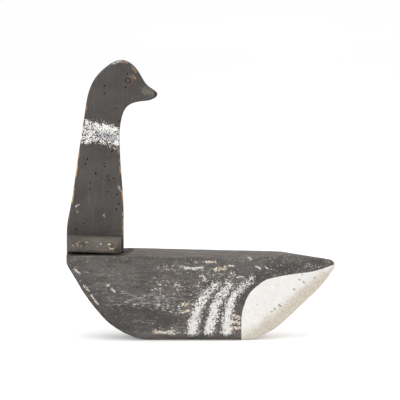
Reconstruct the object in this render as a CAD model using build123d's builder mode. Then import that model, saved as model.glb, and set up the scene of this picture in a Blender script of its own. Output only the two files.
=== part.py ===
"""A wooden brant decoy whose head board turns, and lifts out, on a vertical peg.

The body is one timber with a flat base, a low crown along its back and bevels shaved off its edges.
The head and neck are one board. A cleat is nailed on each side of its foot, where the peg is bored in,
and the foot stands on a flat round seat sunk in the crown, so that the head can face either way.

Millimetres. +X runs from the breast to the tail, +Y to the bird's right side, +Z up. The origin is the
middle of the flat base.
"""

import os

from build123d import *

# Body: the side view is sawn first, then the plan and the hull, then the crown, and last the bevels.
BODY_HALF = 41
BREAST_X = -208
BREAST_LIP_Z = 123
BREAST_HALF = 34
BREAST_SHOULDER = (-201, 39)
FULL_WIDTH_FROM = -150
FULL_WIDTH_TO = 60
BASE_HALF_LENGTH = 60
SAW_ALLOWANCE = 1
CHINE_Z = 68
HULL_FOOT_HALF = 35
RIDGE_FRONT_Z = 146
RUMP = (135, 137.8)
TAIL_TOP = (212, 126.5)
TAIL_TIP = (221, 120)
TAIL_HEEL = (217, 109)
TAIL_HALF = 17
TAIL_TIP_HALF = 11
CROWN_RISE = 5.5
REACH = 1000
# Each bevel is a plane through a point of the right side, with the direction it faces.
BEVELS = (
    ((0, 25, 0), (0, 1, -1)),
    ((-118, 24, 13), (-0.48, 1, -0.88)),
    ((-155, 26, 42), (-0.75, 1, -0.66)),
    ((-192, 28, 94), (-0.86, 1, -0.52)),
    ((175, 9, 57), (0.61, 1, -0.535)),
    ((128, 25, 137), (0.285, 1, 0.5)),
)

# Head board, cut from 7/8 inch stock. Its outline is drawn from the peg's axis and the seat.
PEG_X = -162
SEAT_Z = 139
SEAT_RADIUS = 60
BOARD = 22
BOARD_ROUNDING = 2.8
FOOT_GAP = 0.4
FOOT_BACK = -45.8
FOOT_FRONT = 45.5
EYE = (53, 278)
BILL_ROOT = 62
BILL_TIP = (99.6, 254)
BILL_TIP_HALF = 5.5

# Cleats: strips nailed to the foot, a little askew, one being the other turned half round.
CLEAT = 26
CLEAT_CORNERS = ((-45, 5), (42, 1), (42, 26), (-45, 29))
CLEAT_BEVEL = 5
NAIL_SPOTS = ((-18.8, 18.4), (27.6, 14.7))
NAIL_LENGTH = 44
NAIL_RADIUS = 1.6
NAIL_HEAD_RADIUS = 3.3
NAIL_HEAD = 1.2
NAIL_SUNK = 0.6
NAIL_FIT = 0.05
NAIL_POINT = 5
NAIL_POINT_RADIUS = 0.3

# Peg
PEG_RADIUS = 8
PEG_CLEARANCE = 0.05
PEG_UP = 60
PEG_DOWN = 66
PEG_END_ROOM = 3
PEG_CHAMFER = 1.5

# Eyes: dome-headed tacks
TACK_HEAD_RADIUS = 3.8
TACK_HEAD_RISE = 2
TACK_SHANK_RADIUS = 0.9
TACK_LENGTH = 9

CLEAT_FACE = BOARD / 2 + CLEAT
UPWARD = (Align.CENTER, Align.CENTER, Align.MIN)
DOWNWARD = (Align.CENTER, Align.CENTER, Align.MAX)


def body_side_view():
    """The sawn outline seen from the side, drawn on the open line."""
    breast = Spline(
        (-BASE_HALF_LENGTH, -SAW_ALLOWANCE),
        (-104, 5.5),
        (-135, 22.6),
        (-173.6, 66.2),
        (BREAST_X, BREAST_LIP_Z),
        tangents=((-1, 0), (-0.5, 0.87)),
    )
    back = Polyline(breast @ 1, (BREAST_X, RIDGE_FRONT_Z), RUMP, TAIL_TOP)
    tip = ThreePointArc(back @ 1, TAIL_TIP, TAIL_HEEL)
    heel = Spline(
        tip @ 1,
        (194, 77.8),
        (153, 38.7),
        (118, 11.2),
        (90, 2.4),
        (BASE_HALF_LENGTH, -SAW_ALLOWANCE),
        tangents=((-0.5, -0.87), (-1, 0)),
    )
    Line(heel @ 1, breast @ 0)


def body_plan():
    """The outline seen from above, drawn on the open line: one side, then the other by mirror."""
    front = Polyline(
        (BREAST_X, 0),
        (BREAST_X, BREAST_HALF),
        BREAST_SHOULDER,
        (FULL_WIDTH_FROM, BODY_HALF),
        (FULL_WIDTH_TO, BODY_HALF),
    )
    flank = Spline(front @ 1, (100, 38.8), (215, TAIL_HALF), tangents=((1, 0), (0.98, -0.19)))
    beyond_tip = TAIL_TIP[0] + 1
    Polyline(flank @ 1, (beyond_tip, TAIL_TIP_HALF), (beyond_tip, 0))
    mirror(about=Plane.XZ)


def hull_section():
    """The cross-section below the crown, drawn on the open line in the same way."""
    foot = (HULL_FOOT_HALF, -SAW_ALLOWANCE)
    chine = (BODY_HALF, CHINE_Z)
    Polyline((0, -SAW_ALLOWANCE), foot, chine, (BODY_HALF, RIDGE_FRONT_Z), (0, RIDGE_FRONT_Z))
    mirror(about=Plane.YZ)


def crown(start, end):
    """A long round log whose top line runs through two (x, z) points."""
    run = Vector(end[0] - start[0], 0, end[1] - start[1])
    radius = (BODY_HALF**2 + CROWN_RISE**2) / (2 * CROWN_RISE)
    across = Plane(origin=(start[0], 0, start[1]), x_dir=(0, 1, 0), z_dir=run)
    with BuildPart(across, mode=Mode.PRIVATE) as log:
        with Locations((0, -radius)):
            Cylinder(radius, REACH)
    return log.part


def shave(point, outward):
    """Takes off what lies beyond a plane, on one side of the body and then on the other."""
    x, y, z = point
    out_x, out_y, out_z = outward
    for side in (-1, 1):
        split(bisect_by=Plane(origin=(x, side * y, z), z_dir=(out_x, side * out_y, out_z)), keep=Keep.BOTTOM)


def board_outline():
    """The outline of the head and neck, with the bill toward +X, drawn on the open line."""
    head = Spline(
        (FOOT_BACK, 32),
        (-40.4, 68.4),
        (-28.6, 146),
        (-17.5, 217),
        (-3, 274.8),
        (19.1, 299),
        (43, 309),
        (60.4, 301.2),
        (73.5, 283.6),
        (86, 266.4),
        (95, 260.6),
        BILL_TIP,
        (94.5, 248.4),
        (82.8, 244.8),
        (66, 242.8),
        (51.5, 235.8),
        (42.6, 217),
        (39.2, 178),
        (42.3, 120),
        (FOOT_FRONT, 60),
        tangents=((0, 1), (0, -1)),
    )
    Polyline(head @ 1, (FOOT_FRONT, FOOT_GAP), (FOOT_BACK, FOOT_GAP), head @ 0)


def outward_plane(side, spot, distance):
    """A plane on the left (-1) or right (1) side of the foot or head, facing away from the board."""
    along, height = spot
    return Plane(
        origin=(PEG_X + along, side * distance, SEAT_Z + height),
        x_dir=(1, 0, 0),
        z_dir=(0, side, 0),
    )


def nail_planes(side):
    """Where the nails of one side's cleat start; the right cleat is the left one turned half round."""
    return [outward_plane(side, (-side * along, height), CLEAT_FACE) for along, height in NAIL_SPOTS]


def cut_nail_holes(sides):
    """Takes the nails' holes and the shallow seats of their heads out of the open part."""
    for side in sides:
        for plane in nail_planes(side):
            with Locations(plane):
                Cylinder(NAIL_RADIUS + NAIL_FIT, NAIL_LENGTH + NAIL_FIT, align=DOWNWARD, mode=Mode.SUBTRACT)
                Cylinder(NAIL_HEAD_RADIUS + NAIL_FIT, NAIL_SUNK, align=DOWNWARD, mode=Mode.SUBTRACT)


def cleat(side):
    """One strip on the side of the foot, beveled at its ends and below, with its nail holes."""
    with BuildSketch(outward_plane(side, (0, 0), BOARD / 2)) as face:
        Polygon(*[(-side * along, -side * height) for along, height in CLEAT_CORNERS], align=None)
    strip = extrude(face.sketch, amount=CLEAT)
    outer_face = strip.faces().sort_by(Axis.Y)[0 if side < 0 else -1]
    end_to_end = outer_face.edges().sort_by(Axis.X)
    lower_edge = outer_face.edges().sort_by(Axis.Z)[0]
    chamfer([end_to_end[0], end_to_end[-1], lower_edge], CLEAT_BEVEL)
    cut_nail_holes([side])


def nails(side):
    """One side's nails, heads outward, with pointed ends."""
    for plane in nail_planes(side):
        with Locations(plane):
            Cylinder(NAIL_RADIUS, NAIL_LENGTH - NAIL_POINT, align=DOWNWARD)
        with Locations(plane.offset(NAIL_POINT - NAIL_LENGTH)):
            Cone(NAIL_POINT_RADIUS, NAIL_RADIUS, NAIL_POINT, align=DOWNWARD)
        with Locations(plane.offset(-NAIL_SUNK)):
            Cylinder(NAIL_HEAD_RADIUS, NAIL_HEAD, align=UPWARD)


def eye_tack(side):
    """A dome-headed tack, its shank driven into the board."""
    face = outward_plane(side, EYE, BOARD / 2)
    ball = (TACK_HEAD_RADIUS**2 + TACK_HEAD_RISE**2) / (2 * TACK_HEAD_RISE)
    with Locations(face.offset(TACK_HEAD_RISE - ball)):
        Sphere(ball)
    split(bisect_by=face, keep=Keep.TOP)
    with Locations(face):
        Cylinder(TACK_SHANK_RADIUS, TACK_LENGTH, align=DOWNWARD)


with BuildPart() as body_block:
    with BuildSketch(Plane.XZ):
        with BuildLine():
            body_side_view()
        make_face()
    extrude(amount=BODY_HALF, both=True)
    split(bisect_by=Plane.XY, keep=Keep.TOP)
    with BuildSketch(Plane.YZ):
        with BuildLine():
            hull_section()
        make_face()
    extrude(amount=REACH, both=True, mode=Mode.INTERSECT)
    with BuildSketch(Plane.XY):
        with BuildLine():
            body_plan()
        make_face()
    extrude(amount=RIDGE_FRONT_Z, mode=Mode.INTERSECT)
    add(crown((BREAST_X, RIDGE_FRONT_Z), RUMP), mode=Mode.INTERSECT)
    add(crown(RUMP, TAIL_TOP), mode=Mode.INTERSECT)
    for point, outward in BEVELS:
        shave(point, outward)
    with Locations((PEG_X, 0, SEAT_Z)):
        Cylinder(SEAT_RADIUS, CROWN_RISE * 2, align=UPWARD, mode=Mode.SUBTRACT)
        Cylinder(PEG_RADIUS + PEG_CLEARANCE, PEG_DOWN + PEG_END_ROOM, align=DOWNWARD, mode=Mode.SUBTRACT)
body_block.part.label = "body_block"

with BuildPart() as head_board:
    with BuildSketch(outward_plane(-1, (0, 0), -BOARD / 2)):
        with BuildLine():
            board_outline()
        make_face()
    extrude(amount=BOARD)
    sides = head_board.faces().filter_by(Axis.Y).edges()
    foot_z = SEAT_Z + FOOT_GAP
    fillet(sides.filter_by(lambda edge: edge.center().Z > foot_z + 1), BOARD_ROUNDING)
    for side in (-1, 1):
        bill = (BOARD / 2 - BILL_TIP_HALF, side * (BILL_TIP[0] - BILL_ROOT), 0)
        split(bisect_by=Plane(origin=(PEG_X + BILL_ROOT, side * BOARD / 2, 0), z_dir=bill), keep=Keep.BOTTOM)
        with Locations(outward_plane(side, EYE, BOARD / 2)):
            Cylinder(TACK_SHANK_RADIUS + NAIL_FIT, TACK_LENGTH + NAIL_FIT, align=DOWNWARD, mode=Mode.SUBTRACT)
    with Locations((PEG_X, 0, foot_z)):
        Cylinder(PEG_RADIUS + PEG_CLEARANCE, PEG_UP + PEG_END_ROOM, align=UPWARD, mode=Mode.SUBTRACT)
    cut_nail_holes([-1, 1])
head_board.part.label = "head_board"

with BuildPart() as left_cleat:
    cleat(-1)
left_cleat.part.label = "left_cleat"

with BuildPart() as right_cleat:
    cleat(1)
right_cleat.part.label = "right_cleat"

with BuildPart() as left_nails:
    nails(-1)
left_nails.part.label = "left_nails"

with BuildPart() as right_nails:
    nails(1)
right_nails.part.label = "right_nails"

with BuildPart() as left_eye:
    eye_tack(-1)
left_eye.part.label = "left_eye"

with BuildPart() as right_eye:
    eye_tack(1)
right_eye.part.label = "right_eye"

with BuildPart() as neck_peg:
    with Locations((PEG_X, 0, SEAT_Z - PEG_DOWN)):
        Cylinder(PEG_RADIUS, PEG_DOWN + PEG_UP, align=UPWARD)
    chamfer(neck_peg.edges().filter_by(GeomType.CIRCLE), PEG_CHAMFER)
neck_peg.part.label = "neck_peg"

os.makedirs("parts", exist_ok=True)
for piece in (
    body_block,
    head_board,
    left_cleat,
    right_cleat,
    left_nails,
    right_nails,
    left_eye,
    right_eye,
    neck_peg,
):
    export_step(piece.part, f"parts/{piece.part.label}.step")
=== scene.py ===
import math

import bmesh
import bpy
import numpy as np
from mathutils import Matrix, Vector, noise


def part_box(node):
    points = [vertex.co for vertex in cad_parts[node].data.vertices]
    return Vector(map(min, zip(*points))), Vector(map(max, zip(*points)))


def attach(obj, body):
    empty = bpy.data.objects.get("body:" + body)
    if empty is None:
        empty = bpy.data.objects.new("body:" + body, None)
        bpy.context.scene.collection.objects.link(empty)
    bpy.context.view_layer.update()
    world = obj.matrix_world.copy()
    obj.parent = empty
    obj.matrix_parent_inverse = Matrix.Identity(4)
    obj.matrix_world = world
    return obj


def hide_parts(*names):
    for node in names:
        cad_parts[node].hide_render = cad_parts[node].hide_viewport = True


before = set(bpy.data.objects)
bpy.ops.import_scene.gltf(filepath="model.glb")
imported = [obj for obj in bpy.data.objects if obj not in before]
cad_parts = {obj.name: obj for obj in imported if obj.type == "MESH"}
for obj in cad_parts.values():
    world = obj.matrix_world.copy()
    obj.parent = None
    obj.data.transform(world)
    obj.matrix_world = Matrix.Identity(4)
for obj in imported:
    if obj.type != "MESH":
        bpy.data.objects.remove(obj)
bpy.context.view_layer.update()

# The looks of a wooden brant decoy. Lengths are in millimetres until a mesh is written, and the frame is
# the CAD's: +X from breast to tail, +Y to the bird's right, +Z up. Marks on the body are placed from the
# middle of its base, and marks on the head board and its cleats from the peg's axis and the seat.
MM = 0.001
COARSE = 1.0
FOOT_GAP = 0.4  # how far the board's foot stands above the seat
peg_low, peg_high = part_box("neck_peg")
board_low, board_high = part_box("head_board")
PEG_X = (peg_low.x + peg_high.x) / 2 / MM
PEG_RADIUS = (peg_high.x - peg_low.x) / 2 / MM
SEAT_Z = board_low.z / MM - FOOT_GAP
SEAT_RADIUS = 60
BOARD_HALF = board_high.y / MM
OFF = 20  # a stored field that is this far below 0 leaves no mark


# ---------------------------------------------------------------- surfaces


class Surface:
    """A CAD node's shape rebuilt on an even grid, as arrays that can be worn, dented and painted."""

    def __init__(self, name, node, body, slot, grid):
        self.piece = self.regrid(name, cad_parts[node], grid * COARSE)
        self.body = body
        self.node = node
        self.slot = slot
        self.read()

    @staticmethod
    def regrid(name, source, grid):
        shape = bmesh.new()
        shape.from_mesh(source.data)
        bmesh.ops.remove_doubles(shape, verts=shape.verts, dist=1e-6)
        mesh = bpy.data.meshes.new(name)
        shape.to_mesh(mesh)
        shape.free()
        piece = bpy.data.objects.new(name, mesh)
        bpy.context.scene.collection.objects.link(piece)
        modifier = piece.modifiers.new("grid", "REMESH")
        modifier.mode = "VOXEL"
        modifier.voxel_size = grid * MM
        shown = piece.evaluated_get(bpy.context.evaluated_depsgraph_get())
        mesh = bpy.data.meshes.new_from_object(shown)
        piece.modifiers.clear()
        piece.data = mesh
        return piece

    def read(self):
        """Takes the points and edges from the mesh, after its faces have changed."""
        mesh = self.piece.data
        flat = np.empty(len(mesh.vertices) * 3)
        mesh.vertices.foreach_get("co", flat)
        self.points = flat.reshape(-1, 3) / MM
        ends = np.empty(len(mesh.edges) * 2, np.int32)
        mesh.edges.foreach_get("vertices", ends)
        self.edges = ends.reshape(-1, 2)
        self.find_normals()

    def find_normals(self):
        """Writes the points to the mesh and reads its normals back."""
        mesh = self.piece.data
        mesh.vertices.foreach_set("co", (self.points * MM).ravel())
        mesh.update()
        flat = np.empty(len(self.points) * 3)
        mesh.vertices.foreach_get("normal", flat)
        self.normals = flat.reshape(-1, 3)

    def relaxed(self, points, rounds):
        """The points after each has moved halfway to the middle of its neighbours, a number of times."""
        count = len(points)
        first, second = self.edges.T
        neighbours = np.bincount(self.edges.ravel(), minlength=count)[:, None]
        for _ in range(rounds):
            sums = [
                np.bincount(first, points[second, k], count) + np.bincount(second, points[first, k], count)
                for k in range(3)
            ]
            points = (points + np.stack(sums, 1) / neighbours) / 2
        return points

    def soften(self, rounds, share=1.0):
        """Rounds the shape, fully or by a share at each point."""
        rounder = self.relaxed(self.points, rounds)
        self.points = self.points + (rounder - self.points) * share
        self.find_normals()

    def sharpness(self, rounds, full):
        """0 on flats and in hollows, up to 1 on arrises. Full is how far a sharp arris gives way."""
        given_way = ((self.points - self.relaxed(self.points, rounds)) * self.normals).sum(1)
        return np.clip(given_way / full, 0, 1)

    def push(self, amount):
        """Moves the surface outward by an amount in millimetres, negative for inward."""
        self.points = self.points + self.normals * np.asarray(amount)[:, None]
        self.find_normals()

    def refine(self, spots, radius, side):
        """Splits the faces around (x, z) spots on one side of the piece, so that small holes stay round."""
        middle = self.points[:, 1].mean()
        near = np.zeros(len(self.points), bool)
        for x, z in spots:
            near |= np.hypot(self.points[:, 0] - x, self.points[:, 2] - z) < radius
        near &= (self.points[:, 1] - middle) * side > 0
        shape = bmesh.new()
        shape.from_mesh(self.piece.data)
        shape.verts.ensure_lookup_table()
        edges = [edge for edge in shape.edges if near[edge.verts[0].index] and near[edge.verts[1].index]]
        bmesh.ops.subdivide_edges(shape, edges=edges, cuts=2, use_grid_fill=True)
        bmesh.ops.triangulate(shape, faces=[face for face in shape.faces if len(face.verts) > 4])
        shape.to_mesh(self.piece.data)
        shape.free()
        self.read()

    def field(self, name, values):
        """Stores one number per point for the material to read."""
        attribute = self.piece.data.attributes.new(name, "FLOAT", "POINT")
        attribute.data.foreach_set("value", np.asarray(values, np.float32))

    def finish(self, material):
        """Gives the piece its material and its place in the frame."""
        self.piece.data.materials.clear()
        self.piece.data.materials.append(material)
        self.piece.data.polygons.foreach_set("use_smooth", [True] * len(self.piece.data.polygons))
        self.piece.data.update()
        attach(self.piece, self.body)
        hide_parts(self.node)


SEED_STEP = 7.31  # how far apart two seeds read the same noise
NOISE_GAIN = 1.6  # brings Blender's noise to about -1 to 1


def waves(points, size, seed):
    """Smooth noise, about -1 to 1. Size is the length of its swells along each axis."""
    scaled = points / np.array(size, float) + seed * SEED_STEP
    return np.array([noise.noise(point) for point in scaled.tolist()]) * NOISE_GAIN


def step(values, low, high):
    """0 below low, 1 above high, and a smooth rise between."""
    share = np.clip((values - low) / (high - low), 0, 1)
    return share * share * (3 - 2 * share)


def stroke(flat, line, width):
    """How far inside a brush stroke each (x, z) point is, negative outside. Width is at its two ends."""
    corners = np.array(line, float)
    runs = np.hypot(*np.diff(corners, axis=0).T)
    so_far = np.concatenate([[0], np.cumsum(runs)]) / runs.sum()
    depth = np.full(len(flat), -np.inf)
    for start, end, from_share, to_share in zip(corners, corners[1:], so_far, so_far[1:]):
        along = np.clip(((flat - start) @ (end - start)) / ((end - start) @ (end - start)), 0, 1)
        gap = np.hypot(*(flat - start - along[:, None] * (end - start)).T)
        share = from_share + along * (to_share - from_share)
        depth = np.maximum(depth, (width[0] + share * (width[1] - width[0])) / 2 - gap)
    return depth


def strokes(flat, marks):
    """The deepest of several straight marks, each (x, z, x, z, width)."""
    return np.max([stroke(flat, ((a, b), (c, d)), (width, width)) for a, b, c, d, width in marks], axis=0)


def inside(flat, outline):
    """How far inside a closed outline each flat (x, z) point is, negative outside."""
    corners = np.array(outline, float)
    gap = -stroke(flat, np.vstack([corners, corners[:1]]), (0, 0))
    odd = np.zeros(len(flat), bool)
    for (ax, az), (bx, bz) in zip(corners, np.roll(corners, -1, axis=0)):
        crosses = (az > flat[:, 1]) != (bz > flat[:, 1])
        if az != bz:
            odd ^= crosses & (flat[:, 0] < ax + (flat[:, 1] - az) * (bx - ax) / (bz - az))
    return np.where(odd, gap, -gap)


def rounded(corners, steps=6):
    """A smooth line through the corners."""
    points = np.array([corners[0], *corners, corners[-1]], float)
    line = []
    for a, b, c, d in zip(points, points[1:], points[2:], points[3:]):
        for share in np.arange(steps) / steps:
            line.append(
                0.5 * (2 * b + (c - a) * share + (2 * a - 5 * b + 4 * c - d) * share**2
                       + (3 * b - a - 3 * c + d) * share**3)
            )
    return [*line, points[-1]]


def scatter_dents(surface, count, radius, depth, seed, keep):
    """Small knocks at seeded points of a surface; keep is 0 where it must stay true."""
    random = np.random.default_rng(seed)
    dented = np.zeros(len(surface.points))
    for _ in range(count):
        centre = surface.points[random.integers(len(surface.points))]
        reach = random.uniform(*radius)
        stretch = (random.uniform(1, 2.2), 1, 1)
        gap = np.linalg.norm((surface.points - centre) / stretch, axis=1) / reach
        dented -= random.uniform(*depth) * np.clip(1 - gap**2, 0, 1) ** 2
    surface.push(np.maximum(dented, -depth[1]) * keep)


def true_bore(surface, in_bore, radius):
    """Makes the peg's bore round again after the faces around it have been worn."""
    wall = in_bore & (np.abs(surface.normals[:, 2]) < 0.6)
    from_axis = surface.points[:, :2] - (PEG_X, 0)
    factor = np.where(wall, radius / np.maximum(np.hypot(*from_axis.T), 0.1), 1.0)
    surface.points[:, :2] = (PEG_X, 0) + from_axis * factor[:, None]
    surface.find_normals()


# ---------------------------------------------------------------- materials


class Finish:
    """A short way to write a node material. Its methods return output sockets."""

    def __init__(self, name):
        self.material = bpy.data.materials.new(name)
        self.material.use_nodes = True
        self.tree = self.material.node_tree
        self.tree.nodes.clear()
        self.place = self.tree.nodes.new("ShaderNodeTexCoord").outputs["Object"]

    def node(self, kind, inputs, **settings):
        node = self.tree.nodes.new(kind)
        for key, value in settings.items():
            setattr(node, key, value)
        for key, value in inputs.items():
            if isinstance(value, bpy.types.NodeSocket):
                self.tree.links.new(value, node.inputs[key])
            else:
                node.inputs[key].default_value = value
        return node

    def math(self, operation, a, b=0.0):
        return self.node("ShaderNodeMath", {0: a, 1: b}, operation=operation).outputs[0]

    def most(self, first, *others):
        """The largest of several values."""
        for other in others:
            first = self.math("MAXIMUM", first, other)
        return first

    def total(self, *parts):
        """The sum of (value, weight) pairs."""
        result = 0.0
        for value, weight in parts:
            result = self.math("ADD", result, self.math("MULTIPLY", value, weight))
        return result

    def field(self, name):
        return self.node("ShaderNodeAttribute", {}, attribute_name=name).outputs["Fac"]

    def noise(self, size, seed=0, detail=3.0, roughness=0.6):
        """Noise from 0 to 1 with swells of a size in millimetres along X, Y and Z."""
        scaled = self.node(
            "ShaderNodeVectorMath", {0: self.place, 1: [1 / MM / s for s in size]}, operation="MULTIPLY"
        ).outputs[0]
        inputs = {"Vector": scaled, "W": seed * 3.7, "Scale": 1.0, "Detail": detail, "Roughness": roughness}
        return self.node("ShaderNodeTexNoise", inputs, noise_dimensions="4D").outputs["Fac"]

    def spread(self, value, low, high, to_low=0.0, to_high=1.0):
        """Maps low..high smoothly to to_low..to_high."""
        inputs = {"Value": value, "From Min": low, "From Max": high, "To Min": to_low, "To Max": to_high}
        return self.node("ShaderNodeMapRange", inputs, interpolation_type="SMOOTHSTEP").outputs["Result"]

    def mix(self, share, a, b):
        a, b = [(*c, 1.0) if isinstance(c, tuple) else c for c in (a, b)]
        return self.node("ShaderNodeMix", {0: share, 6: a, 7: b}, data_type="RGBA").outputs[2]

    def over(self, colour, cover, paint, share=1.0):
        """Lays paint on a colour where it's covered. A share below 1 lets the colour show through."""
        return self.mix(cover if share == 1.0 else self.math("MULTIPLY", cover, share), colour, paint)

    def cover(self, field, ragged, grain, soft, seed):
        """1 where a stored field is positive. Noise moves the edge by up to about twice ragged."""
        breaks = self.math("MULTIPLY", self.math("SUBTRACT", self.noise(grain, seed, 2.0), 0.5), ragged * 4)
        return self.spread(self.math("ADD", self.field(field), breaks), -soft, soft)

    def hairlines(self, size, seed, thin):
        """Fine broken scratches: the contour lines of a noise, kept only here and there."""
        line = self.math("ABSOLUTE", self.math("SUBTRACT", self.noise(size, seed, 2.0), 0.5))
        kept = self.spread(self.noise([2.2 * s for s in size], seed + 0.5, 3.0), 0.50, 0.60)
        return self.math("MULTIPLY", self.spread(line, thin, 0), kept)

    def mottled(self, dark, light, size, seed):
        """Two colours in soft patches of a size."""
        return self.mix(self.spread(self.noise(size, seed), 0.35, 0.65), dark, light)

    def done(self, colour, roughness, height, depth, metallic=0.0, specular=0.35, glow=0.0):
        """Depth is how far in millimetres the finish rises and falls with height."""
        bump = self.node("ShaderNodeBump", {"Height": height, "Distance": depth * MM, "Strength": 1.0})
        inputs = {
            "Base Color": colour,
            "Roughness": roughness,
            "Metallic": metallic,
            "Specular IOR Level": specular,
            "Emission Color": (1, 1, 1, 1),
            "Emission Strength": glow,
            "Normal": bump.outputs[0],
        }
        shader = self.node("ShaderNodeBsdfPrincipled", inputs)
        self.node("ShaderNodeOutputMaterial", {"Surface": shader.outputs[0]})
        return self.material


def old_paint(finish, dark, light, grain_size, contrast):
    """Brown-black paint gone dusty and thin: cloudy, speckled and streaked along the grain."""
    clouds = finish.mottled(dark, light, (38, 38, 30), 1)
    paler = tuple(value * 1.7 for value in light)
    darker = tuple(value * 0.45 for value in dark)
    pinhole_black = (0.014, 0.012, 0.011)
    streaks = finish.noise(grain_size, 2, 4.0)
    dust = finish.noise((2.4, 1.9, 1.9), 3, 3.0, 0.7)
    pinholes = finish.noise((1.9, 1.5, 1.5), 51, 2.0, 0.6)
    colour = finish.mix(finish.spread(streaks, 0.52, 0.72, 0, contrast), clouds, paler)
    colour = finish.mix(finish.spread(streaks, 0.46, 0.26, 0, contrast), colour, darker)
    colour = finish.mix(finish.spread(dust, 0.52, 0.70, 0, contrast), colour, paler)
    colour = finish.mix(finish.spread(dust, 0.46, 0.28, 0, contrast), colour, darker)
    colour = finish.mix(finish.spread(pinholes, 0.36, 0.27, 0, contrast), colour, pinhole_black)
    return colour, streaks, dust


def brushed_white(finish, seed, streak):
    """White paint with brush marks and a little grime."""
    clean = finish.mottled((0.79, 0.765, 0.725), (0.73, 0.72, 0.705), (9, 9, 12), seed)
    base_shade = finish.spread(finish.noise(streak, seed + 1), 0.5, 0.75, 0, 0.3)
    return finish.mix(base_shade, clean, (0.60, 0.58, 0.54))


def vent_colour(finish, white):
    """Crackled white that yellows toward the heel and the tail's tip and takes painted shade on faces
    turned toward the tail, with dark and tan specks.
    """
    upright = finish.noise((2.0, 2.0, 15), 22, 4.0, 0.7)
    level = finish.noise((15, 2.0, 2.0), 47, 4.0, 0.7)
    crackle = finish.spread(finish.most(upright, level), 0.53, 0.68, 0, 0.5)
    colour = finish.mix(crackle, white, (0.56, 0.53, 0.485))
    cream_and_facet_shade = finish.mottled((0.48, 0.42, 0.335), (0.60, 0.545, 0.455), (3.4, 3.4, 6), 20)
    # Yellowing, plus painted shade on faces turned toward the tail
    colour = finish.over(colour, finish.cover("cream_and_facet_shade", 5.0, (16, 16, 16), 12.0, 21), cream_and_facet_shade, 0.9)
    speck = finish.mottled((0.11, 0.10, 0.096), (0.36, 0.24, 0.15), (7, 7, 7), 24)
    return finish.over(colour, finish.cover("specks", 4.2, (2.6, 2.6, 2.6), 0.6, 23), speck, 0.8)


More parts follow.
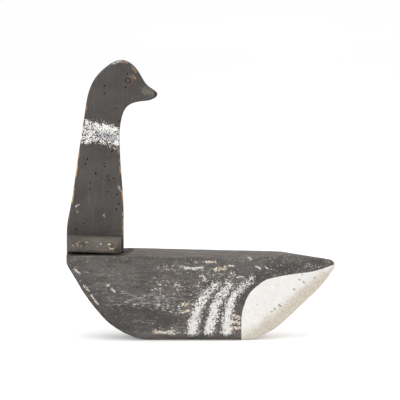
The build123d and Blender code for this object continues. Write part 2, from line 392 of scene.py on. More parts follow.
def body_finish():
    finish = Finish("worn_body_paint")
    old_dark = (0.066, 0.058, 0.052)
    old_light = (0.104, 0.095, 0.088)
    dark_paint_and_shade = (0.036, 0.034, 0.038)
    scratch = (0.42, 0.39, 0.36)
    blue_grey = (0.31, 0.33, 0.37)
    base_shade = (0.04, 0.035, 0.03)
    wood = finish.mottled((0.38, 0.27, 0.18), (0.66, 0.53, 0.40), (14, 2, 2), 8)
    grey = finish.mottled((0.42, 0.40, 0.38), (0.70, 0.685, 0.67), (5, 3, 3), 9)
    dust_and_top_light = finish.mottled((0.098, 0.084, 0.073), (0.168, 0.150, 0.132), (32, 2.6, 2.6), 35)
    rubbed_paint = finish.mottled((0.17, 0.135, 0.105), (0.24, 0.23, 0.225), (9, 7, 7), 34)
    seat_shade_and_soil = finish.mottled((0.035, 0.030, 0.026), (0.085, 0.070, 0.055), (9, 9, 9), 7)
    fleck = finish.mix(finish.spread(finish.noise((12, 9, 9), 12), 0.36, 0.54), wood, grey)
    point = finish.mottled((0.34, 0.28, 0.22), (0.72, 0.70, 0.68), (4, 4, 4), 39)
    tan_scuff = finish.mottled((0.46, 0.34, 0.24), (0.78, 0.71, 0.63), (4, 4, 4), 14)
    hazy = finish.mottled((0.22, 0.23, 0.25), (0.50, 0.50, 0.51), (6, 3, 3), 50)
    white = brushed_white(finish, 17, (14, 14, 3))

    # Old paint: darker in places with painted shade on the breast's bevel, dust and painted light on the
    # crown, rubbed and scratched, painted shade and soil in the seat
    colour, streaks, dust = old_paint(finish, old_dark, old_light, (30, 2.6, 2.6), 0.8)
    # Darker paint, and painted shade on the breast's bevel and the front end below the cleat
    colour = finish.over(colour, finish.cover("dark", 1.0, (24, 8, 8), 0.8, 48), dark_paint_and_shade, 0.5)
    # Dust and painted light: the upward faces of the crown are lighter
    colour = finish.over(colour, finish.cover("top", 0.7, (30, 5, 5), 0.6, 5), dust_and_top_light, 0.7)
    colour = finish.over(colour, finish.cover("rubbed", 5.0, (8.5, 2.0, 2.0), 1.2, 4), rubbed_paint, 0.65)
    long_scratches = finish.hairlines((17, 7, 7), 36, 0.012)
    short_scratches = finish.hairlines((8, 9, 11), 37, 0.010)
    colour = finish.over(colour, finish.most(long_scratches, short_scratches), scratch, 0.6)
    # Painted shade, with some soil, in the seat's recess under the foot
    colour = finish.over(colour, finish.cover("seat", 1.5, (6, 6, 6), 1.0, 6), seat_shade_and_soil)

    # Where the paint has gone: arrises, flecks, points and scuffs, and a pale haze
    bare = finish.cover("bare", 3.0, (9, 3, 3), 0.7, 10)
    flecks = finish.cover("flecks", 5.0, (4.4, 2.0, 2.0), 0.6, 11)
    tan = finish.cover("tan_marks", 5.0, (3.0, 1.8, 1.8), 0.7, 13)
    colour = finish.over(colour, bare, wood)
    colour = finish.over(colour, flecks, fleck)
    colour = finish.over(colour, finish.cover("points", 4.0, (2.1, 1.6, 1.6), 0.5, 38), point)
    colour = finish.over(colour, tan, tan_scuff)
    colour = finish.over(colour, finish.cover("pale_marks", 3.0, (4.4, 2.2, 2.2), 0.9, 15), grey)
    colour = finish.over(colour, finish.cover("haze", 8.5, (7.5, 2.1, 2.1), 1.6, 16), hazy, 0.52)

    # White paint: stippled stripes that are thin and scrubbed in places, and the solid vent
    stipple = finish.cover("stripes", 9.0, (2.0, 2.0, 2.3), 1.2, 18)
    patch = finish.cover("patch", 0.5, (5, 5, 5), 0.5, 19)
    thinned = finish.spread(finish.noise((6, 6, 8), 46), 0.34, 0.52, 0.70, 1.0)
    scrubbed = finish.spread(finish.noise((3, 3, 3.4), 54), 0.5, 0.64, 0, 0.6)
    colour = finish.over(colour, stipple, finish.mix(scrubbed, white, blue_grey), thinned)
    colour = finish.over(colour, patch, vent_colour(finish, white))
    # Painted shade on the downward faces at the base
    colour = finish.over(colour, finish.cover("foot", 0.6, (5, 5, 5), 0.6, 25), base_shade, 0.7)

    worn = finish.most(bare, tan, flecks)
    paint = finish.most(stipple, patch)
    height = finish.total((streaks, 0.6), (dust, 0.3), (paint, 0.5), (worn, -0.5))
    return finish.done(colour, finish.spread(dust, 0.3, 0.7, 0.62, 0.86), height, 0.35)


def board_finish():
    finish = Finish("worn_head_paint")
    old_dark = (0.051, 0.0445, 0.0405)
    old_light = (0.066, 0.060, 0.056)
    dark_paint_and_shade = (0.030, 0.026, 0.024)
    scratch = (0.26, 0.24, 0.22)
    soil = (0.15, 0.095, 0.06)
    blue_grey = (0.30, 0.32, 0.37)
    hole_shade = (0.012, 0.010, 0.009)
    wood = finish.mottled((0.42, 0.24, 0.11), (0.70, 0.47, 0.26), (2, 2, 16), 8)
    olive = finish.mottled((0.085, 0.082, 0.068), (0.190, 0.192, 0.152), (2.6, 2.6, 2), 27)
    rubbed_paint = finish.mottled((0.14, 0.085, 0.055), (0.24, 0.155, 0.10), (4, 4, 4), 30)
    tan_scuff = finish.mottled((0.26, 0.155, 0.095), (0.50, 0.345, 0.22), (3, 3, 3), 14)
    pale_scuff = finish.mottled((0.30, 0.28, 0.255), (0.60, 0.58, 0.55), (3, 3, 3), 16)

    # Old paint: an olive bill, a dark tip and painted shade on the edges under the chin and at the throat,
    # rubbed around the eye and scratched
    colour, streaks, dust = old_paint(finish, old_dark, old_light, (2.6, 2.6, 40), 0.34)
    colour = finish.over(colour, finish.cover("bill", 5.0, (3, 3, 2.4), 4.5, 26), olive, 0.75)
    # A dark bill tip, and painted shade on the edges under the chin and at the throat
    colour = finish.over(colour, finish.cover("dark_tip_and_shaded_edges", 1.0, (4, 4, 4), 1.2, 28), dark_paint_and_shade)
    colour = finish.over(colour, finish.cover("halo", 2.6, (5, 5, 5), 4.0, 29), rubbed_paint, 0.34)
    colour = finish.over(colour, finish.hairlines((9, 9, 16), 37, 0.008), scratch, 0.35)

    # Bare edges and scuffs
    bare = finish.cover("bare", 3.4, (2.4, 2.4, 12), 1.0, 10)
    tan = finish.cover("tan_marks", 3.6, (2.2, 2.2, 2.2), 1.0, 13)
    soiled = finish.spread(finish.noise((4, 4, 14), 49, 4.0), 0.46, 0.66, 0, 0.6)
    colour = finish.over(colour, bare, finish.mix(soiled, wood, soil))
    colour = finish.over(colour, tan, tan_scuff, 0.62)
    colour = finish.over(colour, finish.cover("pale_marks", 2.6, (2, 2, 2), 0.9, 15), pale_scuff, 0.85)

    # The neck band, thin in one place, and painted shade in the shot pits and around the eye tack
    band = finish.cover("band", 8.5, (2.1, 2.1, 2.0), 1.3, 31)
    thin = finish.cover("thin", 5.0, (3, 3, 2.4), 3.0, 32)
    white = finish.over(brushed_white(finish, 33, (16, 16, 3)), thin, blue_grey, 0.75)
    colour = finish.over(colour, band, white)
    # Painted shade: black in the shot holes and in the eye tack's socket
    colour = finish.over(colour, finish.spread(finish.field("pits"), 0.15, 0.7), hole_shade)

    height = finish.total((streaks, 0.5), (dust, 0.35), (band, 0.5), (finish.most(bare, tan), -0.5))
    return finish.done(colour, finish.spread(dust, 0.3, 0.7, 0.60, 0.84), height, 0.28)


def cleat_finish():
    finish = Finish("worn_cleat_paint_painted_lighter")
    # Lighter than the head board's paint: painted light, as the cleats catch more light
    old_dark = (0.078, 0.066, 0.056)
    old_light = (0.118, 0.102, 0.089)
    shaded = (0.05, 0.043, 0.038)
    wood = finish.mottled((0.34, 0.24, 0.15), (0.55, 0.44, 0.32), (12, 2, 2), 8)
    pale_scuff = finish.mottled((0.40, 0.36, 0.31), (0.66, 0.63, 0.58), (4, 4, 4), 16)
    tan_scuff = finish.mottled((0.50, 0.36, 0.18), (0.70, 0.56, 0.34), (3, 3, 3), 14)
    colour, streaks, dust = old_paint(finish, old_dark, old_light, (26, 2.2, 2.2), 0.6)
    # Painted shade on the whittled end's slant, which faces down and out
    colour = finish.over(colour, finish.cover("cut", 0.6, (4, 4, 4), 0.8, 53), shaded, 0.5)
    colour = finish.over(colour, finish.cover("bare", 2.4, (7, 2.4, 2.4), 0.7, 10), wood)
    # Pale scuffs, and a painted highlight along the whittled end's arris
    colour = finish.over(colour, finish.cover("pale_marks", 2.4, (3.4, 2, 2), 0.6, 15), pale_scuff)
    colour = finish.over(colour, finish.cover("tan_marks", 1.6, (3, 3, 3), 0.6, 13), tan_scuff)
    height = finish.total((streaks, 0.7), (dust, 0.3))
    return finish.done(colour, finish.spread(dust, 0.3, 0.7, 0.66, 0.86), height, 0.35)


def nail_finish():
    finish = Finish("rusty_nail")
    rust = finish.mottled((0.048, 0.038, 0.032), (0.120, 0.080, 0.056), (1.6, 1.6, 1.6), 40)
    worn = finish.noise((0.9, 0.9, 0.9), 41, 4.0, 0.7)
    colour = finish.mix(finish.spread(worn, 0.56, 0.70, 0, 0.7), rust, (0.24, 0.21, 0.18))
    return finish.done(colour, finish.spread(worn, 0.3, 0.7, 0.85, 0.5), worn, 0.15, metallic=0.35)


def eye_finish():
    finish = Finish("brown_eye_tack")
    cloud = finish.noise((1.4, 1.4, 1.4), 42, 4.0, 0.65)
    dome = finish.mix(finish.spread(cloud, 0.4, 0.65), (0.070, 0.036, 0.024), (0.190, 0.105, 0.068))
    colour = finish.over(dome, finish.cover("rim", 0.12, (1, 1, 1), 0.3, 43), (0.011, 0.009, 0.008))
    roughness = finish.spread(cloud, 0.3, 0.7, 0.16, 0.4)
    return finish.done(colour, roughness, cloud, 0.05, metallic=0.2, specular=0.6)


def peg_finish():
    finish = Finish("bare_peg_wood")
    grain = finish.noise((1.2, 1.2, 34), 44, 5.0, 0.6)
    colour = finish.mix(finish.spread(grain, 0.35, 0.65), (0.30, 0.18, 0.10), (0.56, 0.40, 0.25))
    dirt = finish.spread(finish.noise((10, 10, 16), 45), 0.45, 0.7, 0, 0.6)
    colour = finish.mix(dirt, colour, (0.12, 0.085, 0.06))
    return finish.done(colour, finish.spread(grain, 0.3, 0.7, 0.5, 0.75), grain, 0.2)


# ---------------------------------------------------------------- body

BODY_GRID = 1.5
BODY_BORE_REACH = 75  # below the seat, a little past the bore's end
BODY_BORE_ROOM = 0.35  # between the peg and the bore's wall
RIGHT_SHIFT = 34  # how far the right side's marks are moved toward the breast
PATCH = (
    (72, -8), (72, 7), (72, 38), (76, 58), (85, 78), (99, 91), (111.5, 99.5),
    (129, 103.5), (154, 107.3), (168, 108.6), (181, 109.6), (194, 112), (206, 115), (216, 118), (240, 124),
)
PATCH_FAR_CORNER = (240, -8)
STRIPES = (  # (line from its foot up, width at its two ends)
    (((-6.5, 16), (-0.5, 42), (8, 64), (19, 80), (31.5, 92)), (16.5, 9.5)),
    (((20, 18), (26, 40), (32, 62), (50, 88)), (15.5, 14)),
    (((47.6, 17), (50.6, 42), (56, 66), (69, 84), (88, 100)), (17, 8)),
)
PALE_SCUFFS = (
    (-18, 118.5, 10, 119.5, 3.6), (45, 121, 59, 122.5, 2.0), (83, 136, 88, 131.5, 1.4),
    (9, 110, 13, 103, 1.8), (-27, 121, -20, 121, 2.4), (-142, 91.5, -131, 81, 2.2),
    (-56, 14, -32, 18, 2.2), (96, 120, 101, 118, 2.0), (-168, 74, -158, 60, 1.6), (64, 104, 76, 104, 1.6),
    (-3, 129, 4, 129.5, 1.6), (34, 70, 40, 66, 1.6), (-100, 60, -92, 60, 1.4), (110, 121, 113, 118, 1.6),
)
TAN_SCUFFS = (
    (30, 117, 45, 117.5, 3.0), (-194, 117, -187, 109.5, 1.3), (-22, 60, -6, 61, 3.0),
    (-30, 44, -12, 50, 2.2), (60, 41, 70, 38, 4.4), (55, 31, 70, 30, 4.6), (46, 22, 70, 21, 4.6),
    (-67, 15, -36, 12.3, 3.6), (-180, 90, -173, 82, 1.5), (57, 112, 60, 109, 2.6), (8, 106, 16, 98, 2.2),
    (-12, 34, -8, 22, 3.0), (14, 128, 30, 129, 2.0),
)
HAZE = ((-136, 66, -56, 60, 16), (-118, 78, -76, 73, 8), (-70, 72, -34, 70, 9), (-100, 34, -70, 30, 6))
FLECKED = (
    (-66, 118, 20, 118, 18), (-52, 60, -4, 56, 34), (-62, 18, -8, 16, 22), (-66, 90, 0, 84, 34),
    (20, 114, 70, 98, 24),
)
# Darker strokes: the first three are painted shade on the breast's bevel and on the front end below the
# cleat, the rest darker paint
DARKER_AND_SHADED = (
    (-199, 121, -164, 67, 22), (-164, 67, -129, 25, 22), (-204, 142, -201, 124, 10),
    (-126, 42, -62, 36, 44), (-60, 30, -30, 34, 16), (28, 46, 34, 74, 6),
)
PATCH_BORDER = ((65, 44, 72, 72, 12), (72, 72, 98, 99, 12), (104, 110, 196, 122, 15))
BREAST_SCRATCHED = ((-206, 130, -172, 66, 20), (-172, 66, -140, 28, 18))
YELLOWED = (
    (240, 131), (214, 113), (180, 91), (150, 71), (119, 48), (95, 31), (72, 20), (60, -20), (240, -20),
)
PATCH_SPECKS = (
    (164, 98.5, 165.5, 97.5, 2.6), (170.5, 94.5, 172, 93, 3.2), (155, 83, 157, 82, 2.6),
    (132, 58, 134, 56.5, 3.0), (124, 52.5, 126, 51, 2.6), (188, 100, 189.5, 99, 2.4),
    (203, 107, 205, 106.5, 2.0), (118, 48, 122, 47, 1.8), (168, 106, 169.5, 105, 1.6),
    (96, 60, 97, 59, 1.4),
)
SPECKLED_ARRIS = ((206, 109, 160, 74, 9), (160, 74, 96, 14, 14))


def hew_body(surface):
    """Works the body as an axe and a plane would, and returns how sharp its arrises were before."""
    surface.soften(5)
    x, y, z = surface.points.T
    heel_arris = step(x, 55, 85) * (1 - step(z, 60, 90)) * step(z, 2, 10)
    surface.soften(60, heel_arris[:, None])

    # The seat's floor, the base and the bore stay true
    x, y, z = surface.points.T
    from_peg = np.hypot(x - PEG_X, y)
    in_bore = (from_peg < PEG_RADIUS + 2.5) & (z < SEAT_Z + 1) & (z > SEAT_Z - BODY_BORE_REACH)
    off_seat = step(from_peg, SEAT_RADIUS, SEAT_RADIUS + 4) + (z < SEAT_Z - 6)
    keep = np.clip(off_seat * step(z, 0.5, 5), 0, 1) * ~in_bore

    # Hewn and planed faces, grain that stands a little, nicked arrises, knocks
    arris = surface.sharpness(22, 1.3)
    hewn = 0.32 * np.abs(waves(surface.points, (52, 26, 19), 1))
    planed = 0.10 * np.abs(waves(surface.points, (11, 8, 8), 2))
    grain = 0.06 * waves(surface.points, (48, 2.6, 2.6), 3)
    nicks = 1.1 * step(arris, 0.35, 0.9) * step(waves(surface.points, (13, 9, 9), 4), 0.15, 0.75)
    surface.push((grain - hewn - planed - nicks) * keep)
    scatter_dents(surface, 90, (1.6, 5.0), (0.15, 0.7), 5, keep)
    true_bore(surface, in_bore, PEG_RADIUS + BODY_BORE_ROOM)
    return arris


def mark_body(surface, arris):
    """Stores how far inside each kind of paint, wear and painted shade every point of the body is."""
    x, y, z = surface.points.T
    aft, sideways, up = surface.normals.T
    flat = np.stack([x, z], 1)
    off_flank = OFF * (1 - step(np.abs(y), 26, 32))
    underneath = 2 * step(-up, 0.3, 0.8)

    # White paint
    patch = inside(flat, [*rounded(PATCH), PATCH_FAR_CORNER])
    stripes = np.max([stroke(flat, rounded(line), width) for line, width in STRIPES], axis=0)
    thin_top = step(z, 44, 80) + 0.35 * step(z, 80, 90)
    surface.field("patch", patch)
    surface.field("stripes", np.clip(stripes - 0.8, -OFF, 4.6 - 3.4 * thin_top) - off_flank)

    # Scuffs, which come round on the right side end for end
    marked = np.stack([np.where(y < 0, x, -x - RIGHT_SHIFT), z], 1)
    on_patch = np.clip(patch + 3, 0, OFF)
    for name, scuffs in (("pale_marks", PALE_SCUFFS), ("tan_marks", TAN_SCUFFS)):
        surface.field(name, np.maximum(strokes(marked, scuffs), -OFF) - on_patch - off_flank)
    surface.field("haze", np.clip(strokes(marked, HAZE), -OFF, 2) - 3.6 - off_flank)

    # Flecks, rubbing and points: more of them in places, few at the ends and none underneath
    crowded = np.clip(strokes(marked, FLECKED) / 6, -1, 1)
    ends = step(np.abs(x + 5), 130, 190)
    breast = step(-aft, 0.15, 0.5)
    surface.field("flecks", -4.1 + 1.9 * crowded - 0.7 * ends - 0.8 * breast - underneath)
    surface.field("rubbed", -2.6 + 1.3 * crowded - 0.8 * ends - underneath)
    rump = step(x, 90, 130) * step(z, 92, 100)
    scratched = np.clip(strokes(marked, BREAST_SCRATCHED) / 6, 0, 1)
    quiet = step(-x, 20, 50) * (1 - scratched) * step(z, 84, 96)
    surface.field("points", -2.95 + 0.64 * rump + scratched - 1.2 * quiet - 0.9 * breast - underneath)
    # Darker paint, and painted shade on the breast's bevel and the front end below the cleat
    darker = np.maximum(strokes(marked, DARKER_AND_SHADED), strokes(flat, PATCH_BORDER))
    surface.field("dark", np.clip(darker / 9, -1, 1))

    # Arrises worn to the wood, dust and painted light on the crown, painted shade and soil in the seat, and
    # painted shade on the downward faces at the base
    patchy = step(waves(surface.points, (26, 16, 16), 6), 0.1, 0.7) * (arris > 0.2)
    spared = 0.6 * step(z, SEAT_Z - 18, SEAT_Z - 12) + 0.2 * breast
    worn_arris = (5.6 * arris + 4.0 * patchy) * (1 - spared)
    surface.field("bare", worn_arris - 9.6 - 3 * step(-up, 0.5, 0.9))
    crown_ends = 1.6 * step(x, 120, 175) + 1.2 * step(-x, 90, 120)
    surface.field("top", 2.2 * step(up, 0.75, 0.97) - 1.2 - crown_ends)
    # Painted shade, with some soil, in the seat's recess
    in_seat = np.minimum(SEAT_RADIUS - np.hypot(x - PEG_X, y), (SEAT_Z + 1.4 - z) * 3)
    on_side = step(np.abs(sideways), 0.4, 0.7) * (np.abs(y) > 34)
    surface.field("seat", in_seat - OFF * (z < SEAT_Z - 8) - OFF * on_side)
    # Painted shade on the downward faces at the base
    surface.field("foot", -1.4 + 1.2 * step(-z, -6, 0) * (up < -0.3))

    # The vent's yellowing, painted shade on its faces turned toward the tail, and specks
    # Faces turned toward the tail get cream as painted shade; near the tail's tip it is yellowing
    toward_tail = 4 * step(aft, 0.1, 0.7) + 10 * step(x, 115, 195)
    surface.field("cream_and_facet_shade", np.clip(inside(flat, YELLOWED), -18, 14) + toward_tail - 9)
    along_arris = np.clip(strokes(flat, SPECKLED_ARRIS) / 4, 0, 1)
    sprinkled = -4.6 + 1.7 * along_arris + 0.6 * step(x, 120, 200)
    placed = np.clip(strokes(flat, PATCH_SPECKS) * 3, -6, 3)
    surface.field("specks", np.maximum(sprinkled, placed))


def body():
    surface = Surface("painted_body", "body_block", "body", "body_paint", BODY_GRID)
    mark_body(surface, hew_body(surface))
    surface.finish(body_finish())


# ---------------------------------------------------------------- head board

BOARD_GRID = 0.95
BOARD_BORE_REACH = 66  # above the seat
BOARD_BORE_ROOM = 0.3  # between the peg and the bore's wall
NECK_BAND = ((-16, 216), (12, 209), (26, 203.5), (42, 199), (42, 174.5), (10, 177), (-24, 179.7))
EYE = (53, 278)
EYE_RADIUS = 3.8
SHOT_HOLES = (
    (51.6, 288.6), (48.9, 266.9), (15, 269.2), (15.6, 257.5), (33.8, 233.3), (38.2, 212.2), (26.2, 163),
    (28.4, 165.2), (14.5, 144.1), (16.7, 139.1), (1, 128.3), (20.6, 123.7), (22.3, 117.3), (29.8, 120.7),
    (-11.9, 151.4), (-14.8, 144), (-7.6, 112.6), (-9.2, 102.9), (21.2, 98.3), (34.6, 94), (38, 79.1),
    (33.7, 70.3), (-17.8, 47.5), (-30, 38),
)
RIGHT_SHOT_HOLES = (
    (20, 262), (37, 247), (8, 240), (-3, 196), (24, 152), (2, 131), (27, 118), (-14, 96), (18, 84),
    (-22, 60), (30, 52),
)
SHOT_RADIUS = 1.35
SHOT_DEPTH = 2.6
BARE_SPANS = (  # (which edge: -1 for -X, 1 for +X; from, to, strength)
    (-1, 78, 172, 1.0), (-1, 40, 78, 0.55), (-1, 222, 236, 0.9), (1, 124, 152, 0.9), (1, 66, 102, 1.0),
    (1, 20, 58, 1.0), (1, 158, 170, 0.7), (-1, 255, 300, 0.25), (1, 190, 214, 0.3),
)
BOARD_PALE = (
    (28, 304.8, 41, 308.8, 1.3), (-31.6, 74.5, -24.6, 78.9, 0.8), (13.4, 63, 15, 58, 0.7),
    (38, 107, 41, 99, 1.5), (24, 171, 32, 168, 1.0), (-30, 70, -28, 66, 0.5), (44, 66, 44, 60, 0.7),
)
BOARD_TAN = (
    (41, 308, 51, 307, 1.6), (59, 300, 65.5, 292, 1.5), (59.5, 286, 64.5, 281.5, 1.1),
    (36, 168, 39, 160, 2.0), (-14.6, 237, -17, 228, 3.6),
)
LEFT_ONLY_BELOW = 290  # scuffs lower than this are on the left side only
HALO = (53, 277, 59, 282, 10)
THIN_WHITE = (11, 190, 29, 185, 11)
BILL = ((79, 262), (92, 257))
BILL_WIDTH = (10, 8)
BILL_TIP_FROM = 94.5


def plane_board(surface):
    """Works the board as a hand plane would, except its foot, its bore and what the cleats cover."""
    surface.soften(3)
    x, y, z = surface.points.T
    outward_x, outward_y, _ = surface.normals.T
    in_bore = (np.hypot(x - PEG_X, y) < PEG_RADIUS + 1.6) & (np.abs(y) < PEG_RADIUS + 1.3)
    in_bore &= (z < SEAT_Z + BOARD_BORE_REACH) & (np.abs(outward_y) < 0.99)
    in_bore &= (x - PEG_X) * outward_x + y * outward_y < 0
    covered = (z - SEAT_Z < 30) & (np.abs(y) > BOARD_HALF - 2)
    keep = step(z - SEAT_Z, 1, 5) * ~in_bore * ~covered
    arris = surface.sharpness(26, 1.0)
    planed = 0.16 * np.abs(waves(surface.points, (24, 24, 60), 11))
    pocked = 0.05 * np.abs(waves(surface.points, (7, 7, 9), 12))
    grain = 0.03 * waves(surface.points, (2.2, 2.2, 50), 13)
    nicks = 0.8 * step(arris, 0.3, 0.9) * step(waves(surface.points, (7, 7, 12), 14), 0.2, 0.8)
    surface.push((grain - planed - pocked - nicks) * keep)
    scatter_dents(surface, 60, (1.2, 3.6), (0.1, 0.4), 15, keep)
    true_bore(surface, in_bore, PEG_RADIUS + BOARD_BORE_ROOM)


def sink_holes(surface, spots, side):
    """Presses shot holes with a slightly raised lip into one face, and returns how deep each point went."""
    x, y, z = surface.points.T
    sunk = np.zeros(len(x))
    lip = np.zeros(len(x))
    facing = surface.normals[:, 1] * side > 0.6
    random = np.random.default_rng(8)
    for spot_x, spot_z in spots:
        wide = random.uniform(0.75, 1.1) * SHOT_RADIUS
        gap = np.hypot((x - spot_x) * random.uniform(0.9, 1.1), z - spot_z) / wide
        sunk = np.maximum(sunk, (1 - step(gap, 0.55, 1.15)) * facing)
        lip = np.maximum(lip, step(gap, 1.0, 1.25) * (1 - step(gap, 1.25, 1.8)) * facing)
    surface.points[:, 1] = y + side * (0.12 * lip - SHOT_DEPTH * sunk)
    surface.find_normals()
    return sunk


def shoot_board(surface):
    """Puts the shot holes into both faces, and returns how deep each point went."""
    sides = ((-1, SHOT_HOLES), (1, RIGHT_SHOT_HOLES))
    placed = [(side, [(PEG_X + a, SEAT_Z + b) for a, b in spots]) for side, spots in sides]
    for side, spots in placed:
        surface.refine(spots, SHOT_RADIUS * 2.2, side)
    return np.max([sink_holes(surface, spots, side) for side, spots in placed], axis=0)


def mark_board(surface, pits):
    """Stores how far inside each kind of paint, wear and painted shade every point of the board is."""
    x, y, z = surface.points.T
    lengthwise, _, up = surface.normals.T
    across = x - PEG_X
    high = z - SEAT_Z
    flat = np.stack([across, high], 1)
    from_eye = np.hypot(across - EYE[0], high - EYE[1])
    beyond_rim = step(from_eye, EYE_RADIUS + 0.3, EYE_RADIUS + 1.5)
    socket = step(from_eye, EYE_RADIUS - 0.6, EYE_RADIUS) * (1 - beyond_rim)
    # Painted shade: the shot holes, and a ring where the eye tack meets the board
    surface.field("pits", np.maximum(pits, 0.8 * socket))

    # Edges worn to the wood
    arris = surface.sharpness(26, 1.0)
    spans = np.zeros(len(x))
    for edge, low, top, strength in BARE_SPANS:
        along = step(high, low - 5, low + 5) * (1 - step(high, top - 5, top + 5))
        spans = np.maximum(spans, strength * along * step(lengthwise * edge, 0.15, 0.5))
    near_arris = 0.35 + 0.65 * step(np.abs(y), 4, 10)
    uneven = waves(surface.points, (9, 9, 22), 16)
    surface.field("bare", -7.6 + 4.6 * arris + 6.2 * spans * near_arris + 1.6 * uneven)

    # The white band, thinner toward both edges of the board and worn off its arrises
    band = np.minimum(inside(flat, rounded((*NECK_BAND, NECK_BAND[0]))[:-1]), 3.2)
    patchy = np.minimum(2.4 * waves(surface.points, (16, 16, 13), 17), 0.6)
    speckled = 2.5 * step(-across, -16, 2) + 1.5 * step(across, 28, 38) + 4 * step(arris, 0.4, 0.9)
    surface.field("band", band + patchy - speckled - 0.6)
    surface.field("thin", strokes(flat, [THIN_WHITE]))

    # Scuffs, the rubbed ring around the eye, the bill, its dark tip, and painted shade on the edges under
    # the chin and at the throat
    off_right = OFF * (y > 0) * (high < LEFT_ONLY_BELOW)
    surface.field("pale_marks", strokes(flat, BOARD_PALE) - off_right)
    surface.field("tan_marks", strokes(flat, BOARD_TAN) - off_right)
    surface.field("halo", strokes(flat, [HALO]))
    surface.field("bill", stroke(flat, BILL, BILL_WIDTH))
    # Painted shade on the edges under the chin and at the throat; past BILL_TIP_FROM the bill's tip is
    # darker paint
    chin = step(-up, 0.2, 0.7) * step(across, 50, 62)
    throat = step(lengthwise, 0.2, 0.7) * step(high, 206, 214) * (1 - step(high, 244, 252))
    surface.field("dark_tip_and_shaded_edges", np.maximum(across - BILL_TIP_FROM, 2.2 * np.maximum(chin, throat) - 1.4))


def head_board():
    surface = Surface("painted_head_board", "head_board", "head", "head_paint", BOARD_GRID)
    plane_board(surface)
    mark_board(surface, shoot_board(surface))
    surface.finish(board_finish())


# ---------------------------------------------------------------- cleats, nails, eyes, peg

CLEAT_GRID = 0.7
NAIL_GRID = 0.3
EYE_GRID = 0.22
PEG_GRID = 0.8
# Pale scuffs; the fifth and sixth run along the whittled end's arris as a painted highlight
CLEAT_PALE_AND_HIGHLIGHT = (
    (-41, 24, -36, 16, 2.6), (-36, 16, -14, 14.4, 3.0), (-14, 14.4, 36, 13.6, 2.4),
    (-26, 22, -8, 19.5, 4.0), (41.5, 22, 38.5, 12, 1.9), (38.5, 12, 33.5, 4, 1.7), (4, 19, 30, 17.5, 3.4),
    (-21.5, 20.2, -15.5, 20.6, 1.6),
)
CLEAT_TAN = ((24, 11.4, 30, 11, 2.0), (22, 17.6, 24.5, 17.4, 1.4), (-31, 19, -28, 18.6, 1.0))
SLANT = (0.556, 0.772, -0.309)  # which way the whittled end faces: along the cleat, outward, up
SLANT_FROM = (-1, 0, -2)  # a point on it, from the end's outer top corner


def cleat(name, node, turned, seed, material):
    """A strip on the foot. Turned is 1 for the left, and -1 for the right, the same turned half round."""
    surface = Surface(name, node, "head", "cleat_paint", CLEAT_GRID)
    surface.soften(4)
    off_board = np.abs(surface.points[:, 1]) >= BOARD_HALF + 1.5
    arris = surface.sharpness(22, 0.8)
    sawn = 0.22 * np.abs(waves(surface.points, (18, 9, 9), seed))
    grain = 0.05 * waves(surface.points, (26, 1.8, 1.8), seed + 1)
    nicks = 0.8 * step(arris, 0.35, 0.9) * step(waves(surface.points, (7, 6, 6), seed + 2), 0.1, 0.7)

    # One end is whittled off at a slant
    facing = np.array([turned, -turned, 1])
    local = surface.points * facing
    over = (local - local.max(0) - SLANT_FROM) @ SLANT
    surface.points = surface.points - np.maximum(over, 0)[:, None] * (SLANT * facing)
    surface.find_normals()
    surface.push((-sawn - grain - nicks) * off_board)
    scatter_dents(surface, 26, (1.0, 3.0), (0.1, 0.5), seed + 3, off_board)

    x, y, z = surface.points.T
    flat = np.stack([(x - PEG_X) * turned, z - SEAT_Z], 1)
    not_outer = OFF * (1 - step(-y * turned, 30, 34))
    # Painted shade on the slant; the pale marks include a painted highlight along its arris
    surface.field("cut", np.minimum(over, 3))
    surface.field("pale_marks", strokes(flat, CLEAT_PALE_AND_HIGHLIGHT) - 2.2 - not_outer)
    surface.field("tan_marks", strokes(flat, CLEAT_TAN) - not_outer)
    surface.field("bare", -7.2 + 6.0 * arris + 1.8 * waves(surface.points, (14, 8, 8), seed + 4))
    surface.finish(material)


def nails(name, node, seed, material):
    surface = Surface(name, node, "head", "nail_iron", NAIL_GRID)
    surface.soften(2)
    surface.push(-0.14 * np.abs(waves(surface.points, (2.2, 2.2, 2.2), seed)))
    surface.finish(material)


def eye(name, node, material):
    surface = Surface(name, node, "head", "eye_tack", EYE_GRID)
    surface.soften(2)
    surface.push(-0.05 * np.abs(waves(surface.points, (1.3, 1.3, 1.3), 31)))
    from_middle = np.hypot(surface.points[:, 0] - PEG_X - EYE[0], surface.points[:, 2] - SEAT_Z - EYE[1])
    surface.field("rim", from_middle - EYE_RADIUS * 0.55)
    surface.finish(material)


def peg():
    surface = Surface("whittled_peg", "neck_peg", "peg", "bare_wood", PEG_GRID)
    surface.soften(2)
    around = np.arctan2(surface.points[:, 1], surface.points[:, 0] - PEG_X)
    facets = 0.18 * np.abs(np.sin(around * 6 + 0.02 * surface.points[:, 2]))
    fibres = 0.08 * np.abs(waves(surface.points, (3, 3, 30), 41))
    surface.push(-0.1 - facets - fibres)
    surface.finish(peg_finish())


body()
head_board()
cleat_paint = cleat_finish()
cleat("left_foot_cleat", "left_cleat", 1, 51, cleat_paint)
cleat("right_foot_cleat", "right_cleat", -1, 61, cleat_paint)
nail_iron = nail_finish()
nails("left_foot_nails", "left_nails", 71, nail_iron)
nails("right_foot_nails", "right_nails", 72, nail_iron)
eye_tack = eye_finish()
eye("left_eye_tack", "left_eye", eye_tack)
eye("right_eye_tack", "right_eye", eye_tack)
peg()


# ---------------------------------------------------------------- floor, light, camera; lengths in metres

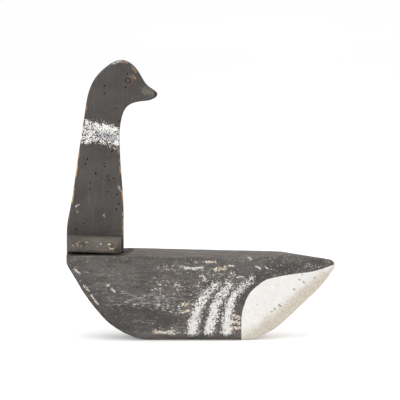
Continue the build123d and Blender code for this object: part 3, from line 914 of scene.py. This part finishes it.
FLOOR_HALF = 30.0
CAMERA_DISTANCE = 12.0
CAMERA_RISE = math.radians(8.5)
FRAME_WIDTH = 0.64
SENSOR = 36.0
SKY_STRENGTH = 0.85
TARGET = Vector((0.0056, 0, 0.2227))
SOFTBOXES = (  # (name, place, size, watts)
    ("overhead", (-0.3, -0.5, 1.8), 1.6, 14),
    ("front_left", (-1.3, -1.6, 0.9), 1.2, 6),
)


def floor():
    shape = bmesh.new()
    corners = ((-1, -1), (1, -1), (1, 1), (-1, 1))
    shape.faces.new([shape.verts.new((a * FLOOR_HALF, b * FLOOR_HALF, 0)) for a, b in corners])
    mesh = bpy.data.meshes.new("floor")
    shape.to_mesh(mesh)
    shape.free()
    finish = Finish("pale_floor")
    shade = finish.mottled((0.90, 0.90, 0.90), (0.93, 0.93, 0.93), (900, 900, 900), 90)
    texture = finish.noise((40, 40, 40), 91)
    mesh.materials.append(finish.done(shade, 0.9, texture, 0.01, specular=0.1, glow=0.2))
    piece = bpy.data.objects.new("floor", mesh)
    bpy.context.scene.collection.objects.link(piece)


def softbox(name, place, size, watts):
    """A square light aimed at the middle of the decoy."""
    light = bpy.data.lights.new(name, "AREA")
    light.size = size
    light.energy = watts
    lamp = bpy.data.objects.new(name, light)
    bpy.context.scene.collection.objects.link(lamp)
    lamp.location = place
    lamp.rotation_euler = (TARGET - Vector(place)).to_track_quat("-Z", "Y").to_euler()


def sky():
    world = bpy.data.worlds.new("studio")
    world.use_nodes = True
    background = world.node_tree.nodes["Background"]
    background.inputs["Color"].default_value = (1, 1, 1, 1)
    background.inputs["Strength"].default_value = SKY_STRENGTH
    bpy.context.scene.world = world


def camera():
    lens = bpy.data.cameras.new("camera")
    lens.sensor_width = SENSOR
    lens.lens = SENSOR * CAMERA_DISTANCE / FRAME_WIDTH
    viewer = bpy.data.objects.new("camera", lens)
    bpy.context.scene.collection.objects.link(viewer)
    away = Vector((0, -math.cos(CAMERA_RISE), math.sin(CAMERA_RISE)))
    viewer.location = TARGET + away * CAMERA_DISTANCE
    viewer.rotation_euler = (-away).to_track_quat("-Z", "Y").to_euler()
    bpy.context.scene.camera = viewer


floor()
sky()
for settings in SOFTBOXES:
    softbox(*settings)
camera()
bpy.context.scene.view_settings.view_transform = "Standard"
